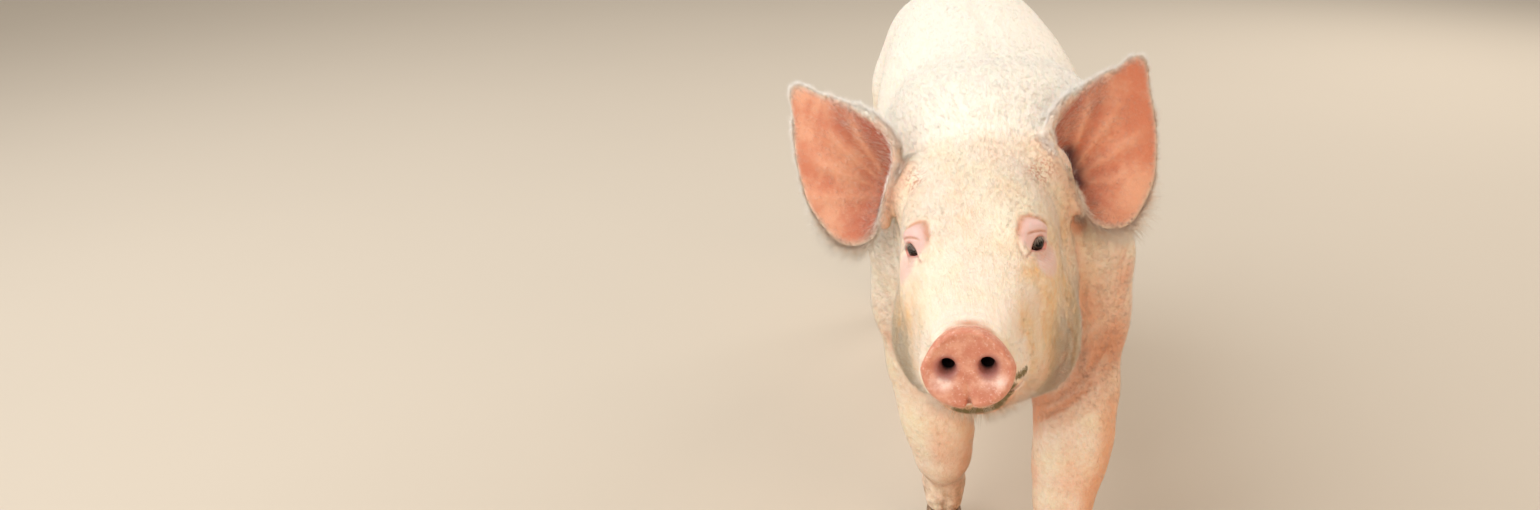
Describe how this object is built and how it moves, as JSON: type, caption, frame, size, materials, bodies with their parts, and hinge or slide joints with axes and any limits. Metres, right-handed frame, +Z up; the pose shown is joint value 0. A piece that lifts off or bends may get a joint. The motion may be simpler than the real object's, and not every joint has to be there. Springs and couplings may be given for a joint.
{
  "type": "domestic pig",
  "caption": "Life-size young domestic pig with erect ears, striding slowly with its head raised and its tail curled.",
  "frame": {"origin": "on the floor under the centre of the bounding box", "axes": "-Y the way the pig faces, +X its left side, +Z up"},
  "size_m": [0.3388, 1.0532, 0.5501],
  "materials": {
    "hide": "pale pink skin under a thin white coat",
    "bare_skin": "bare pink skin, slightly moist",
    "horn": "worn yellowish-brown horn",
    "eye": "wet, nearly black"
  },
  "bodies": {
    "root": {"barrel": "hide", "ear_left": "bare_skin", "ear_right": "bare_skin", "eye_left": "eye", "eye_right": "eye", "fore_left_claw_left": "horn", "fore_left_claw_right": "horn", "fore_left_dewclaw_left": "horn", "fore_left_dewclaw_right": "horn", "fore_left_lower": "hide", "fore_left_upper": "hide", "fore_right_claw_left": "horn", "fore_right_claw_right": "horn", "fore_right_dewclaw_left": "horn", "fore_right_dewclaw_right": "horn", "fore_right_lower": "hide", "fore_right_upper": "hide", "head": "hide", "hind_left_claw_left": "horn", "hind_left_claw_right": "horn", "hind_left_dewclaw_left": "horn", "hind_left_dewclaw_right": "horn", "hind_left_lower": "hide", "hind_left_upper": "hide", "hind_right_claw_left": "horn", "hind_right_claw_right": "horn", "hind_right_dewclaw_left": "horn", "hind_right_dewclaw_right": "horn", "hind_right_lower": "hide", "hind_right_upper": "hide", "lower_jaw": "hide", "neck": "hide", "rump": "hide", "shoulders": "hide", "snout_disc": "bare_skin", "tail": "hide"}
  },
  "joints": []
}
